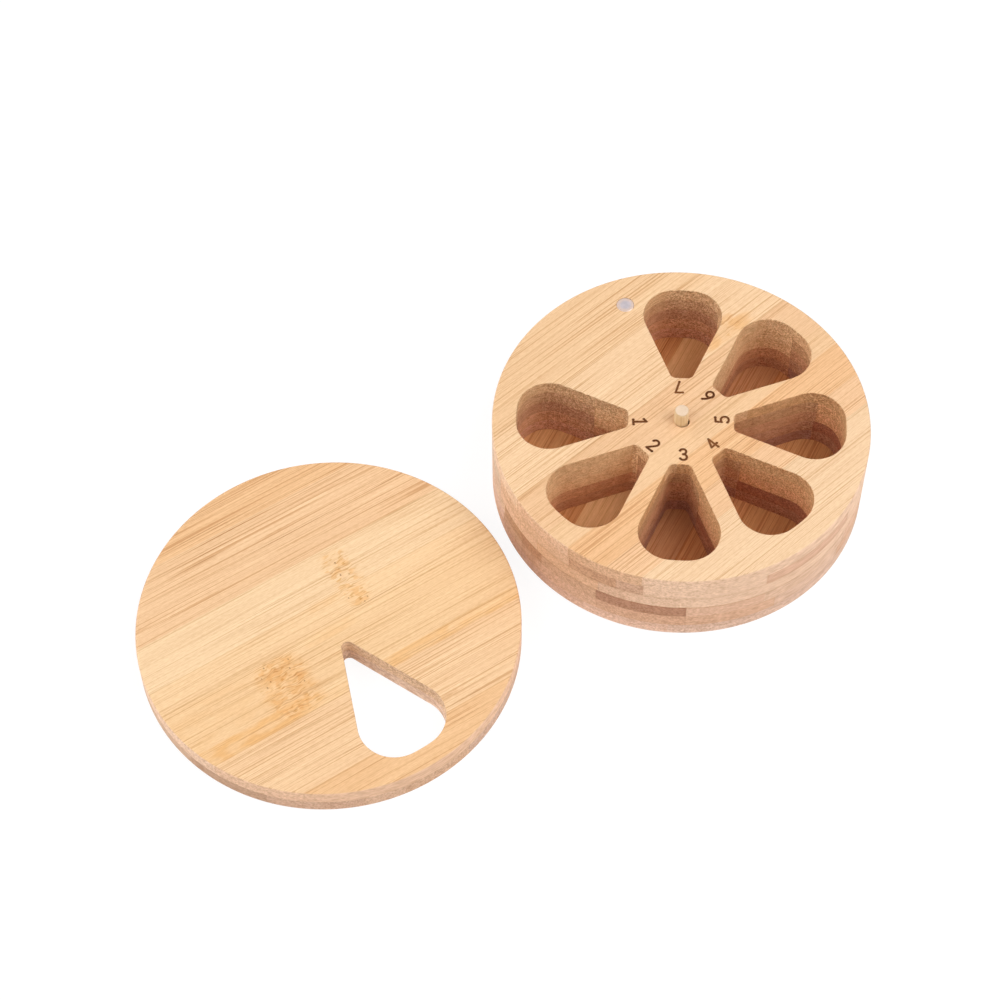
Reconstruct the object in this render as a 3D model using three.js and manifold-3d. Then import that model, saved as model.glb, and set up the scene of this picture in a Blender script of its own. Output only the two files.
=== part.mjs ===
// A round wooden pill box for one week. The box is a disc of glued bamboo plies with seven
// teardrop pockets round a wooden pin. The lid is a thinner disc with one window of the same
// form. It turns on the pin, and two small magnets catch it where the window stands over the
// blank part of the box. Here the lid lies beside the box, as it does when it is taken off.
// The origin is the middle of the underside of the box, on the pin's axis. +Z is up, and the
// pocket next after the blank part, counted anticlockwise, lies along -X.
import * as THREE from 'three';
import { mergeVertices } from 'three/addons/utils/BufferGeometryUtils.js';
import Module from 'manifold-3d';

const wasm = await Module();
wasm.setup();

// Lengths are in millimetres and angles in degrees.

// The two discs
const DISC_DIAMETER = 105;
const EDGE_BREAK = 0.5;
const BASE_PLY_THICKNESS = 4.5;
const LID_PLY_THICKNESS = 4.5;
const LOWER_BOARD_PLY_COUNT = 3;

// Pockets: one in each sector of the box but one
const SECTOR_COUNT = 8;
const BLANK_SECTOR = 3;
const RIB_THICKNESS = 6.1;
const HUB_RADIUS = 14.7;
const RIM_WALL = 6.8;
const POCKET_OUTER_FILLET = 9;
const POCKET_INNER_FILLET = 1.8;

// The window in the lid is a little larger than a pocket and runs further in
const WINDOW_MARGIN = 1;
const WINDOW_INNER_RADIUS = 8.1;

// The pin that the lid turns on
const PIN_DIAMETER = 4.3;
const PIN_STANDING_HEIGHT = 5.1;
const PIN_END_BREAK = 0.5;
const PIN_HOLE_CLEARANCE = 0.3;
const SOCKET_END_CLEARANCE = 0.6;

// The two magnets, one in the face of the box and one in the underside of the lid
const MAGNET_DIAMETER = 5;
const MAGNET_THICKNESS = 3;
const MAGNET_CLEARANCE = 0.3;
const MAGNET_INSET = 9.5;

// Where the lid lies beside the box
const LID_SIDE_GAP = 5.8;
const LID_BEARING = 211.9;
const LID_TURN = -53;

// How far cutting tools run past what they cut, and how finely round shapes are drawn
const CUT_OVERRUN = 1;
const RIM_SEGMENTS = 96;
const ROUND_SEGMENTS = 24;
const OUTER_FILLET_STEPS = 8;
const INNER_FILLET_STEPS = 3;
const OUTER_EDGE_STEPS = 2;

// Sizes that follow from those above
const DISC_RADIUS = DISC_DIAMETER / 2;
const SECTOR_ANGLE = 360 / SECTOR_COUNT;
const HALF_SECTOR = THREE.MathUtils.degToRad(SECTOR_ANGLE / 2);
const PIN_RADIUS = PIN_DIAMETER / 2;
const MAGNET_RADIUS = MAGNET_DIAMETER / 2;
const MAGNET_CIRCLE_RADIUS = DISC_RADIUS - MAGNET_INSET;

// Materials
function bamboo(colour) {
  return new THREE.MeshStandardMaterial({ color: colour, roughness: 0.62, metalness: 0 });
}

const pinWood = new THREE.MeshStandardMaterial({ color: 0xe3c893, roughness: 0.7, metalness: 0 });
const magnetPlating = new THREE.MeshStandardMaterial({ color: 0xc3c9da, roughness: 0.3, metalness: 0.9 });

// The plies of the box and of the lid, from the underside up, each with its tone
const BASE_PLIES = [
  ['lower_board_floor_ply', 0xd9a977],
  ['lower_board_core_ply', 0xc79468],
  ['lower_board_top_ply', 0xdcae80],
  ['upper_board_bottom_ply', 0xc08a5e],
  ['upper_board_core_ply', 0xdeb287],
  ['upper_board_top_ply', 0xefc697],
];
const LID_PLIES = [
  ['lid_bottom_ply', 0xd8a87c],
  ['lid_top_ply', 0xf0c593],
];
const LOWER_BOARD_HEIGHT = LOWER_BOARD_PLY_COUNT * BASE_PLY_THICKNESS;
const BASE_HEIGHT = BASE_PLIES.length * BASE_PLY_THICKNESS;
const LID_HEIGHT = LID_PLIES.length * LID_PLY_THICKNESS;

// Turns a closed three.js geometry into a solid that can be cut
function solidOf(geometry) {
  const bare = geometry.clone();
  bare.deleteAttribute('normal');
  bare.deleteAttribute('uv');
  const merged = mergeVertices(bare);
  const index = merged.index.array;
  const kept = [];
  for (let first = 0; first < index.length; first += 3) {
    const [a, b, c] = [index[first], index[first + 1], index[first + 2]];
    if (a !== b && b !== c && c !== a) kept.push(a, b, c);
  }
  const mesh = new wasm.Mesh({
    numProp: 3,
    vertProperties: new Float32Array(merged.attributes.position.array),
    triVerts: new Uint32Array(kept),
  });
  return new wasm.Manifold(mesh);
}

function geometryOf(solid) {
  const mesh = solid.getMesh();
  const geometry = new THREE.BufferGeometry();
  geometry.setAttribute('position', new THREE.BufferAttribute(mesh.vertProperties, 3));
  geometry.setIndex(new THREE.BufferAttribute(mesh.triVerts, 1));
  geometry.computeVertexNormals();
  return geometry;
}

// A round solid on the Z axis from its profile, given as [radius, height] from the bottom up
function turned(profile, segments) {
  const points = profile.map(([radius, height]) => new THREE.Vector2(radius, height));
  const geometry = new THREE.LatheGeometry(points, segments);
  geometry.rotateX(Math.PI / 2);
  return solidOf(geometry);
}

function cylinder(radius, bottom, top, segments) {
  return turned([[0, bottom], [radius, bottom], [radius, top], [0, top]], segments);
}

// A disc of one ply, with its lower or upper edge broken where it is an outer edge of the board
function disc(bottom, top, breakBelow, breakAbove) {
  const profile = [[0, bottom]];
  if (breakBelow) profile.push([DISC_RADIUS - EDGE_BREAK, bottom], [DISC_RADIUS, bottom + EDGE_BREAK]);
  else profile.push([DISC_RADIUS, bottom]);
  if (breakAbove) profile.push([DISC_RADIUS, top - EDGE_BREAK], [DISC_RADIUS - EDGE_BREAK, top]);
  else profile.push([DISC_RADIUS, top]);
  profile.push([0, top]);
  return turned(profile, RIM_SEGMENTS);
}

// Points of an arc about [x, y], from one angle to the other, both in radians
function arcPoints(x, y, radius, from, to, steps) {
  const points = [];
  for (let step = 0; step <= steps; step += 1) {
    const angle = from + (to - from) * step / steps;
    points.push(new THREE.Vector2(x + radius * Math.cos(angle), y + radius * Math.sin(angle)));
  }
  return points;
}

// The teardrop outline about the X axis. Its sides run parallel to the borders of its sector,
// sideGap inside them, so the wood between two neighbours has parallel sides. Its inner end is
// flat, its outer end is an arc about the pin, and all four corners are rounded.
function teardrop(sideGap, innerRadius, outerRadius, outerFillet, innerFillet) {
  const apex = sideGap / Math.sin(HALF_SECTOR);
  const widestFillet = (outerRadius - apex) / (1 + 1 / Math.sin(HALF_SECTOR));
  const outer = Math.min(outerFillet, widestFillet);
  // The centre of the outer fillet is as far from the side as from the outer arc
  const reach = outerRadius - outer;
  const turn = Math.asin(Math.min((sideGap + outer) / reach, 1));
  const cornerAngle = HALF_SECTOR - turn;
  const cornerX = reach * Math.cos(cornerAngle);
  const cornerY = reach * Math.sin(cornerAngle);
  const innerHalfWidth = (innerRadius - apex) * Math.tan(HALF_SECTOR);
  const filletReach = Math.tan((Math.PI / 2 - HALF_SECTOR) / 2);
  const inner = Math.min(innerFillet, innerHalfWidth / filletReach);
  const innerX = innerRadius + inner;
  const innerY = innerHalfWidth - inner * filletReach;
  const side = Math.PI / 2 + HALF_SECTOR;
  const above = [
    ...arcPoints(innerX, innerY, inner, Math.PI, side, INNER_FILLET_STEPS),
    ...arcPoints(cornerX, cornerY, outer, side, cornerAngle, OUTER_FILLET_STEPS),
  ];
  const below = above.map((point) => new THREE.Vector2(point.x, -point.y)).reverse();
  const outerEdge = arcPoints(0, 0, outerRadius, cornerAngle, -cornerAngle, OUTER_EDGE_STEPS);
  return new THREE.Shape([...above, ...outerEdge.slice(1, -1), ...below]);
}

function teardropCutter(shape, bottom, top, angle) {
  const geometry = new THREE.ExtrudeGeometry(shape, { depth: top - bottom, bevelEnabled: false });
  geometry.translate(0, 0, bottom);
  geometry.rotateZ(THREE.MathUtils.degToRad(angle));
  return solidOf(geometry);
}

// Everything that is milled or drilled out of the box
function baseCutters() {
  const shape = teardrop(
    RIB_THICKNESS / 2,
    HUB_RADIUS,
    DISC_RADIUS - RIM_WALL,
    POCKET_OUTER_FILLET,
    POCKET_INNER_FILLET,
  );
  const cutters = [];
  for (let sector = 0; sector < SECTOR_COUNT; sector += 1) {
    if (sector === BLANK_SECTOR) continue;
    cutters.push(teardropCutter(shape, BASE_PLY_THICKNESS, BASE_HEIGHT + CUT_OVERRUN, sector * SECTOR_ANGLE));
  }
  const holeRadius = PIN_RADIUS + PIN_HOLE_CLEARANCE;
  cutters.push(cylinder(holeRadius, LOWER_BOARD_HEIGHT, BASE_HEIGHT + CUT_OVERRUN, ROUND_SEGMENTS));
  const [x, y] = magnetPlace(BLANK_SECTOR * SECTOR_ANGLE);
  const recess = magnetRecess(BASE_HEIGHT - MAGNET_THICKNESS, BASE_HEIGHT + CUT_OVERRUN);
  cutters.push(recess.translate([x, y, 0]));
  return cutters;
}

// Everything that is cut out of the lid, whose window lies along +X before the lid is turned
function lidCutters() {
  const shape = teardrop(
    RIB_THICKNESS / 2 - WINDOW_MARGIN,
    WINDOW_INNER_RADIUS,
    DISC_RADIUS - RIM_WALL + WINDOW_MARGIN,
    POCKET_OUTER_FILLET + WINDOW_MARGIN,
    POCKET_INNER_FILLET + WINDOW_MARGIN,
  );
  const socketDepth = PIN_STANDING_HEIGHT + SOCKET_END_CLEARANCE;
  const [x, y] = magnetPlace(0);
  return [
    teardropCutter(shape, -CUT_OVERRUN, LID_HEIGHT + CUT_OVERRUN, 0),
    cylinder(PIN_RADIUS + PIN_HOLE_CLEARANCE, -CUT_OVERRUN, socketDepth, ROUND_SEGMENTS),
    magnetRecess(-CUT_OVERRUN, MAGNET_THICKNESS).translate([x, y, 0]),
  ];
}

// Both magnets sit half a sector clockwise of the blank part or of the window
function magnetPlace(sectorAngle) {
  const angle = THREE.MathUtils.degToRad(sectorAngle - SECTOR_ANGLE / 2);
  return [MAGNET_CIRCLE_RADIUS * Math.cos(angle), MAGNET_CIRCLE_RADIUS * Math.sin(angle)];
}

function magnetRecess(bottom, top) {
  return cylinder(MAGNET_RADIUS + MAGNET_CLEARANCE, bottom, top, ROUND_SEGMENTS);
}

function named(name, solid, material) {
  const mesh = new THREE.Mesh(geometryOf(solid), material);
  mesh.name = name;
  return mesh;
}

function cutBy(solid, cutters) {
  return cutters.reduce((rest, cutter) => rest.subtract(cutter), solid);
}

// The plies of a board, from its underside up
function plyStack(plies, thickness, cutters) {
  const last = plies.length - 1;
  return plies.map(([name, colour], number) => {
    const solid = disc(number * thickness, (number + 1) * thickness, number === 0, number === last);
    return named(name, cutBy(solid, cutters), bamboo(colour));
  });
}

// The pin stands on the lower board, runs up through the upper one and stands proud of it
function pivotPin() {
  const top = BASE_HEIGHT + PIN_STANDING_HEIGHT;
  const profile = [
    [0, LOWER_BOARD_HEIGHT],
    [PIN_RADIUS, LOWER_BOARD_HEIGHT],
    [PIN_RADIUS, top - PIN_END_BREAK],
    [PIN_RADIUS - PIN_END_BREAK, top],
    [0, top],
  ];
  return named('pivot_pin', turned(profile, ROUND_SEGMENTS), pinWood);
}

function magnet(name, sectorAngle, bottom) {
  const solid = cylinder(MAGNET_RADIUS, 0, MAGNET_THICKNESS, ROUND_SEGMENTS);
  const mesh = named(name, solid, magnetPlating);
  const [x, y] = magnetPlace(sectorAngle);
  mesh.position.set(x, y, bottom);
  return mesh;
}

const base = new THREE.Group();
base.add(...plyStack(BASE_PLIES, BASE_PLY_THICKNESS, baseCutters()));
base.add(pivotPin());
base.add(magnet('base_magnet', BLANK_SECTOR * SECTOR_ANGLE, BASE_HEIGHT - MAGNET_THICKNESS));

const lid = new THREE.Group();
lid.add(...plyStack(LID_PLIES, LID_PLY_THICKNESS, lidCutters()));
lid.add(magnet('lid_magnet', 0, 0));
const lidDistance = DISC_DIAMETER + LID_SIDE_GAP;
const bearing = THREE.MathUtils.degToRad(LID_BEARING);
lid.position.set(lidDistance * Math.cos(bearing), lidDistance * Math.sin(bearing), 0);
lid.rotation.z = THREE.MathUtils.degToRad(LID_TURN);

const group = new THREE.Group();
group.add(base, lid);

export default group;
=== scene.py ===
import math
from typing import NamedTuple

import bmesh
import bpy
import numpy as np
from bpy.props import FloatProperty, FloatVectorProperty, PointerProperty
from mathutils import Matrix, Vector, noise
from mathutils.geometry import tessellate_polygon


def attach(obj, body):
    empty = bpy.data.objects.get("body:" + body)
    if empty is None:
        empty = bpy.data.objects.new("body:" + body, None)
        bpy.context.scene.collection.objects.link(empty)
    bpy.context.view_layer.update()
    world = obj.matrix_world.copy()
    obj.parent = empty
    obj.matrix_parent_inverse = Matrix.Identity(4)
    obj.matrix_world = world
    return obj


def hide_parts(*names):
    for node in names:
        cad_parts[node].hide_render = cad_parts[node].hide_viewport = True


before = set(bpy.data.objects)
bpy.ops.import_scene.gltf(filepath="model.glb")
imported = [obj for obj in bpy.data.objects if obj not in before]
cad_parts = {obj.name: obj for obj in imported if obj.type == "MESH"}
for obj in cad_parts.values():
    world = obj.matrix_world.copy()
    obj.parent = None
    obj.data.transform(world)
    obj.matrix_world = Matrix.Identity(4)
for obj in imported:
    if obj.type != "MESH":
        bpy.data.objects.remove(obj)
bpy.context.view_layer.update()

bl_info = {
    "name": "Wooden pill box",
    "version": (1, 0, 0),
    "blender": (4, 5, 0),
    "location": "3D View > Sidebar > Pill Box",
    "description": "A round bamboo pill box with seven pockets and the lid that turns on its pin",
    "category": "Object",
}

MM_PER_M = 1000.0
SECTORS = 8
BLANK_SECTOR = 3
SECTOR = 2 * math.pi / SECTORS
HALF_SECTOR = SECTOR / 2
LID_TURN = math.radians(-53)
BASE_PLIES = 6
LOWER_PLIES = 3


def length(name, description, default):
    """A length in metres that a user may change."""
    return FloatProperty(
        name=name, description=description, default=default, min=0.0,
        unit="LENGTH", subtype="DISTANCE", precision=5,
    )


def angle(name, description, degrees):
    """An angle that a user may change."""
    return FloatProperty(
        name=name, description=description, default=math.radians(degrees), subtype="ANGLE"
    )


def share(name, description, default):
    """A plain number that a user may change."""
    return FloatProperty(
        name=name, description=description, default=default, min=0.0, max=4.0, subtype="FACTOR"
    )


def power(name, description, default):
    """The power of a lamp, in watts."""
    return FloatProperty(name=name, description=description, default=default, unit="POWER")


def paint(red, green, blue):
    """Blender's linear colour for one given as a screen shows it, 0 to 255."""
    shown = (red / 255, green / 255, blue / 255)
    return tuple(c / 12.92 if c <= 0.04045 else ((c + 0.055) / 1.055) ** 2.4 for c in shown)


def colour(name, description, shown):
    """A colour that a user may change."""
    return FloatVectorProperty(
        name=name, description=description, default=paint(*shown), size=3, min=0.0, max=1.0,
        subtype="COLOR",
    )


def tint(name, description, default):
    """How much of each colour is left, which a user may change."""
    return FloatVectorProperty(
        name=name, description=description, default=default, size=3, min=0.0, max=2.0
    )


# Sizes and colours


class BoardSizes(bpy.types.PropertyGroup):
    radius: length("Radius", "Radius of the box and of the lid", 0.0525)
    ply: length("Ply", "Thickness of one ply", 0.0045)
    edge: length("Edge", "Rounding of the outer edges", 0.0005)
    seam: length("Seam", "Rounding where two plies meet", 0.00003)
    joint: length("Joint", "Rounding where the two boards meet", 0.00012)
    mouth: length("Mouth", "Rounding of the pocket mouths", 0.00025)
    waver: length("Waver", "How far a milled wall wanders from its line", 0.00004)
    lid_gap: length("Lid gap", "Clear space between the box and the lid beside it", 0.0058)
    lid_bearing: angle("Lid bearing", "Direction in which the lid lies", 211.9)


class PocketSizes(bpy.types.PropertyGroup):
    rib: length("Rib", "Wood left between two pockets", 0.0061)
    hub: length("Hub", "Distance from the pin to the inner end of a pocket", 0.0147)
    rim: length("Rim", "Wood left between a pocket and the rim", 0.0068)
    outer_fillet: length("Outer fillet", "Radius of the outer corners", 0.009)
    inner_fillet: length("Inner fillet", "Radius of the inner corners", 0.0018)
    window_margin: length("Window margin", "How much larger the window is than a pocket", 0.001)
    window_hub: length(
        "Window hub", "Distance from the socket to the inner end of the window", 0.0081
    )


class PinSizes(bpy.types.PropertyGroup):
    radius: length("Radius", "Radius of the pin", 0.0020)
    height: length("Height", "How far the pin stands above the box", 0.0051)
    rounding: length("Rounding", "Rounding of its upper end", 0.0006)
    clearance: length("Clearance", "Gap round the pin", 0.00012)
    lean: length("Lean", "How far the worn hole lies to one side of the pin", 0.00034)
    socket_gap: length("Socket gap", "Space above the pin in the lid's socket", 0.0006)
    wood: colour("Wood", "Colour of the pin", (236, 208, 166))
    fibre: colour("Fibre", "Colour of its darker fibres", (222, 188, 136))
    ends: colour("Fibre ends", "Colour of the fibre ends on its top", (188, 152, 100))
    worn: colour("Worn edge", "Colour of its handled upper edge", (196, 158, 106))
    foot_tone: colour("Foot tone", "Colour just above the face of the box", (200, 160, 104))
    top: colour("Top", "Colour of its sanded top", (228, 202, 182))


class MagnetSizes(bpy.types.PropertyGroup):
    radius: length("Radius", "Radius of a magnet", 0.0025)
    height: length("Height", "Thickness of a magnet", 0.003)
    clearance: length("Clearance", "Gap round a magnet", 0.00003)
    inset: length("Inset", "Distance from the rim to the middle of a magnet", 0.0095)
    bevel: length("Bevel", "Rounding of its edge", 0.0002)
    plating: colour("Plating", "Colour of the nickel plating", (184, 174, 178))
    cloud: colour("Cloud", "Colour of the plating where it is dull", (171, 163, 168))
    edge_tone: colour("Edge tone", "Colour of the plating towards the edge", (196, 173, 160))


class NumberSizes(bpy.types.PropertyGroup):
    ring: length("Ring", "Distance from the pin to the middle of a number", 0.0114)
    height: length("Height", "Height of a number", 0.0037)
    stroke: length("Stroke", "Width of a burnt line", 0.0006)
    depth: length("Depth", "Depth of a burnt line", 0.0002)
    halo: length("Halo", "Width of the scorched wood beside a line", 0.00024)
    turn: angle("Turn", "How far the ring of numbers is turned past the pockets", 4)
    char: colour("Char", "Colour of burnt wood", (80, 42, 22))
    toast: colour("Toast", "Colour of scorched wood", (166, 108, 64))


class BambooLook(bpy.types.PropertyGroup):
    light: tint("Light", "Change of colour in a pale line", (1.165, 1.252, 1.345))
    dark: tint("Dark", "Change of colour in a dark line", (0.782, 0.668, 0.556))
    vessel: tint("Vessel", "Change of colour in a thin dark vein", (0.82, 0.74, 0.64))
    chalk: tint("Chalk", "Change of colour between the fibre ends", (1.16, 1.18, 1.20))
    bundle: tint("Bundle", "Change of colour on the fibre ends", (0.80, 0.72, 0.65))
    pale_tool: tint(
        "Pale tool mark", "Change of colour on the high parts of a milled wall", (1.14, 1.20, 1.22)
    )
    dark_tool: tint(
        "Dark tool mark", "Change of colour in the low parts of a milled wall", (0.80, 0.66, 0.58)
    )
    milled: tint("Milled", "Change of colour on the pocket walls", (1.05, 1.025, 0.89))
    singed: tint(
        "Singed", "Change of colour on the pocket walls across the fibres", (1.00, 0.935, 0.81)
    )
    warm: tint("Warm", "Change of colour in a warm patch", (0.925, 0.755, 0.52))
    dash: tint("Dash", "Change of colour in the dashes of a knot", (0.80, 0.66, 0.44))
    speck: colour("Speck", "Colour of the specks in a knot", (138, 76, 10))
    depth: length("Fibre depth", "Depth of the fibre grooves", 0.00005)


class StageSetting(bpy.types.PropertyGroup):
    floor: length("Floor", "Side of the floor", 4.0)
    lens: FloatProperty(
        name="Lens", description="Focal length on a 36 mm sensor, in mm", default=93.82, min=1.0
    )
    sky: share("Sky", "Strength of the light from all round", 0.02)
    right: power("Right", "Power of the soft lamp on the right", 15.3)
    left: power("Left", "Power of the soft lamp in front on the left", 11.1)
    back: power("Back", "Power of the soft lamp at the back", 8.3)
    corner: power("Corner", "Power of the soft lamp behind on the right", 2.4)
    low: power("Low", "Power of the low lamp in front on the right", 1.6)
    floor_paint: colour("Floor paint", "Colour of the floor", (238, 238, 238))
    bounce: share("Bounce", "Light that the white floor sends up by itself", 0.20)
    glow: share("Glow", "How much of the floor's white is its own", 0.89)
    wash: share("Wash", "How much of the floor's white is lit by the lamps", 0.15)


SETTINGS = {
    "pill_box_boards": BoardSizes,
    "pill_box_pockets": PocketSizes,
    "pill_box_pin": PinSizes,
    "pill_box_magnets": MagnetSizes,
    "pill_box_numbers": NumberSizes,
    "pill_box_bamboo": BambooLook,
    "pill_box_stage": StageSetting,
}


# The plies. A strip of bamboo is given by where it begins across the grain, in mm from the middle
# of the board, its colour, and how strong its fibre lines are. A patch is a warm or knotty place
# on the face, in mm along and across the grain. The singe is how much of the cutter's colour the
# walls cut into a ply take on. The seams are heights above its underside, in mm, at which a dark
# line of glue shows on its rim.


RAMP_SPAN = 120.0
EDGE = -RAMP_SPAN / 2


class Patch(NamedTuple):
    """A place on the face, with its half lengths, and how knotty and how warm it is."""

    along: float
    across: float
    half_along: float
    half_across: float
    knot: float
    warmth: float


class Ply(NamedTuple):
    """One ply, with the strips of its face, of its rim and of the walls cut into it."""

    name: str
    node: str
    level: int
    grain: float
    face: tuple
    side: tuple
    inner: tuple = ()
    patches: tuple = ()
    singe: float = 1.0
    seams: tuple = ()


PALE = (232, 196, 166)
PINK = (226, 184, 154)
TAN = (216, 172, 140)
BROWN = (202, 156, 122)
UNSEEN_FACE = ((EDGE, (214, 164, 112), 1.0),)

BASE = (
    Ply(
        "base_ply_1_floor", "lower_board_floor_ply", level=0, grain=66,
        face=(
            (EDGE, (214, 154, 100), 1.5), (-24, (215, 151, 99), 1.5),
            # The strip from -12.8 mm to 2 mm is darker partly as painted shade: it darkens the
            # floor of the front pocket towards the pin
            (-12.8, (198, 139, 94), 1.2), (2, (236, 187, 133), 1.0), (17, (206, 143, 90), 1.4),
            (31, (216, 160, 107), 1.3),
        ),
        # Partly the wood's tone and partly painted light: these rim colours are paler and pinker,
        # as if white light came up from the floor under the box
        side=(
            (EDGE, (221, 187, 165), 1.0), (-20, (228, 190, 166), 1.0), (4, (224, 184, 158), 1.0),
            (26, PINK, 1.0),
        ),
        seams=(3.4, 4.2),
    ),
    Ply(
        "base_ply_2_core", "lower_board_core_ply", level=1, grain=44.5,
        face=UNSEEN_FACE,
        # Partly the wood's tone and partly painted light: these rim colours are paler and pinker,
        # as if white light came up from the floor under the box
        side=(
            (EDGE, (223, 187, 161), 1.0), (-51.2, TAN, 1.0), (-39.4, (212, 166, 134), 1.0),
            (-19.1, TAN, 1.0), (1.2, BROWN, 1.0), (8, (209, 165, 130), 1.0),
            (19.2, (229, 190, 164), 1.0),
        ),
        inner=(
            (EDGE, (196, 148, 127), 1.2), (-19.1, (185, 144, 132), 1.2),
            (1.2, (202, 155, 128), 1.2), (21.5, (221, 178, 159), 1.3),
        ),
    ),
    Ply(
        "base_ply_3_top", "lower_board_top_ply", level=2, grain=44.5,
        face=UNSEEN_FACE,
        side=(
            (EDGE, (224, 187, 158), 0.9), (-50.4, (222, 180, 150), 0.9),
            (-39.4, (181, 132, 101), 1.2), (-19.1, (209, 165, 131), 1.0),
            (-0.6, (188, 138, 101), 1.2), (8, (196, 150, 111), 1.2), (18.2, (228, 192, 160), 1.2),
        ),
        inner=(
            (EDGE, (185, 128, 105), 1.2), (-19.1, (204, 160, 136), 1.3),
            (1.2, (217, 168, 137), 1.2), (21.5, (219, 175, 148), 1.4),
        ),
        seams=(4.5,),
    ),
    Ply(
        "base_ply_4_bottom", "upper_board_bottom_ply", level=3, grain=44.5,
        face=UNSEEN_FACE,
        side=(
            (EDGE, PALE, 0.8), (-38, (227, 190, 160), 0.8), (-28, (221, 182, 151), 1.0),
            (-19.4, (222, 178, 141), 1.0), (1.2, (229, 189, 156), 1.0),
            (21.5, (220, 186, 158), 1.0),
        ),
        inner=(
            (EDGE, (237, 190, 152), 1.0), (-19.4, (213, 168, 139), 1.0),
            (1.2, (238, 203, 166), 1.1), (21.5, (202, 159, 134), 1.3),
        ),
        seams=(4.5,),
    ),
    Ply(
        "base_ply_5_core", "upper_board_core_ply", level=4, grain=44.5,
        face=UNSEEN_FACE,
        side=(
            (EDGE, (220, 176, 146), 0.8), (-50.2, PALE, 0.8), (-30.6, (208, 165, 135), 1.2),
            (-24, (203, 156, 121), 1.2), (-10.6, (222, 181, 147), 1.0),
            (1.2, (223, 183, 149), 1.2), (21.5, (216, 188, 162), 1.0),
        ),
        inner=(
            (EDGE, (229, 185, 145), 1.0), (-19.4, (208, 168, 135), 1.1),
            (1.2, (237, 204, 168), 1.1), (21.5, (214, 177, 147), 1.4),
        ),
        seams=(0.0,),
    ),
    Ply(
        "base_ply_6_face", "upper_board_top_ply", level=5, grain=44.5,
        face=(
            (EDGE, (236, 200, 160), 0.75), (-30.3, (233, 189, 146), 0.92),
            (-21.5, (232, 184, 136), 1.05), (-10.3, (233, 192, 148), 0.52),
            (-3.0, (231, 188, 145), 0.82), (10.5, (237, 199, 157), 0.85),
            (30.6, (233, 193, 149), 1.15),
        ),
        side=(
            (EDGE, PALE, 1.0), (-30.3, (219, 176, 139), 1.2), (-10.3, (228, 189, 157), 1.1),
            (10.5, (235, 202, 172), 1.0),
        ),
        inner=(
            (EDGE, (223, 183, 142), 1.1), (-10.3, (235, 202, 166), 1.1),
            (10.5, (230, 198, 163), 1.3),
        ),
        patches=(
            Patch(33.4, 14.4, 3.2, 4.5, knot=0.7, warmth=0.6),
            Patch(31.0, 13.6, 10.0, 2.6, knot=0.0, warmth=0.78),
        ),
    ),
)
LID = (
    Ply(
        "lid_ply_1_under", "lid_bottom_ply", level=0, grain=120,
        face=(
            (EDGE, (232, 188, 140), 1.0), (-18, (228, 182, 134), 1.1), (2, (234, 192, 146), 0.9),
            (22, (230, 186, 138), 1.0),
        ),
        side=(
            (EDGE, (207, 170, 146), 1.0), (-18, (212, 172, 140), 1.1), (2, (215, 176, 146), 1.0),
            (14, (210, 170, 142), 1.0), (36, (195, 156, 127), 1.0), (49, (208, 172, 143), 1.0),
        ),
        # Painted light: the pale wall colour and the low singe light the window wall as if the
        # white floor sent light up through the window
        inner=((EDGE, (224, 196, 176), 2.0),),
        singe=0.3,
    ),
    Ply(
        "lid_ply_2_face", "lid_top_ply", level=1, grain=35.9,
        face=(
            (EDGE, (231, 186, 138), 0.75), (-41.4, (234, 194, 150), 1.15),
            (-21.6, (235, 196, 149), 0.72), (-1.4, (237, 199, 153), 0.64),
            (6.5, (238, 203, 160), 0.56), (20.2, (232, 190, 146), 1.18),
            (40.8, (229, 183, 135), 1.5),
        ),
        side=((EDGE, (229, 189, 156), 1.0), (-21.6, PALE, 1.0), (20.2, PINK, 1.0)),
        # Painted light: the pale wall colour and the low singe light the window wall as if the
        # white floor sent light up through the window
        inner=((EDGE, (227, 196, 165), 1.6),),
        patches=(
            Patch(11.2, 9.4, 4.3, 10.6, knot=1.0, warmth=0.22),
            Patch(-19.5, -11.5, 8.5, 10.0, knot=1.0, warmth=0.56),
            Patch(-42.0, -11.5, 28.0, 9.9, knot=0.0, warmth=0.20),
            Patch(30.0, -20.1, 44.0, 2.0, knot=0.0, warmth=0.62),
            Patch(2.0, 5.8, 7.0, 1.6, knot=0.0, warmth=0.26),
            Patch(-1.0, -3.0, 8.0, 1.8, knot=0.0, warmth=0.3),
            Patch(-38.0, -19.0, 26.0, 2.9, knot=0.0, warmth=0.85),
        ),
        singe=0.4,
    ),
)


# Outlines


WAVE = 0.006
WINDOW_SEED = 20


class Outline:
    """A closed line on a board: its points, and at each the direction out of the wood."""

    def __init__(self, points, away):
        self.points = np.array(points, float)
        self.away = np.array(away, float)

    def inset(self, distance):
        return self.points - self.away * distance

    def turned(self, angle, x=0.0, y=0.0):
        c, s = math.cos(angle), math.sin(angle)
        spin = np.array([[c, s], [-s, c]])
        return Outline(self.points @ spin + (x, y), self.away @ spin)

    def wavering(self, amount, seed):
        """The same line as a milling cutter leaves it, swaying over lengths of about WAVE."""
        moved = []
        for (x, y), away in zip(self.points, self.away):
            at = Vector((x / WAVE, y / WAVE, seed))
            moved.append((x, y) + away * amount * noise.noise(at))
        return Outline(moved, self.away)


def rim_outline(radius, steps=360):
    """The outside of a disc."""
    angles = np.linspace(0, 2 * math.pi, steps, endpoint=False)
    ring = np.stack([np.cos(angles), np.sin(angles)], 1)
    return Outline(ring * radius, ring)


def round_hole(radius, x=0.0, y=0.0, steps=72):
    """A drilled hole."""
    rim = rim_outline(radius, steps)
    return Outline(rim.points + (x, y), -rim.away)


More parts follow.
